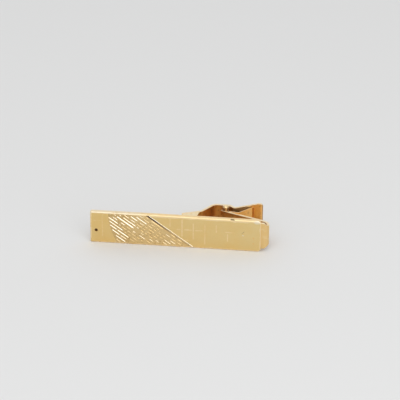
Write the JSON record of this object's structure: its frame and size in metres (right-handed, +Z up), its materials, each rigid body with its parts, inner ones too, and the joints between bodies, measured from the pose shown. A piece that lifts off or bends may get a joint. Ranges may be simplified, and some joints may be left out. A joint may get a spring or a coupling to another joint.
{
  "type": "tie clip",
  "caption": "Gilt sprung tie clip: engraved bar over a folded strap, with a toothed lever on a pin that a leaf spring closes.",
  "frame": {"origin": "middle of the flat on the bar's lower long edge, on which the clip stands", "axes": "+X along the bar towards the fold, +Y from the engraved face to the lever, +Z up across the bar's width"},
  "size_m": [0.056, 0.0137, 0.0107],
  "materials": {
    "gilt_bar": "satin gilt with fine engraved lines",
    "gilt_strap": "bright gilt",
    "gilt_lever": "bright gilt",
    "gilt_pin": "bright gilt",
    "gilt_spring": "gilt spring steel"
  },
  "bodies": {
    "bar": {"front_bar": "gilt_bar", "back_strap": "gilt_strap", "leaf_spring": "gilt_spring"},
    "lever": {"jaw_lever": "gilt_lever", "hinge_pin": "gilt_pin"}
  },
  "joints": [
    {"name": "lever_hinge", "type": "hinge", "parent": "bar", "child": "lever", "pos_m": [0.0146, 0.01073, 0.00535], "axis": [0, 0, -1], "range_deg": [0, 20], "stiffness_Nm_per_rad": 0.05, "springref_deg": -17.19, "deforming": ["leaf_spring"]}
  ]
}
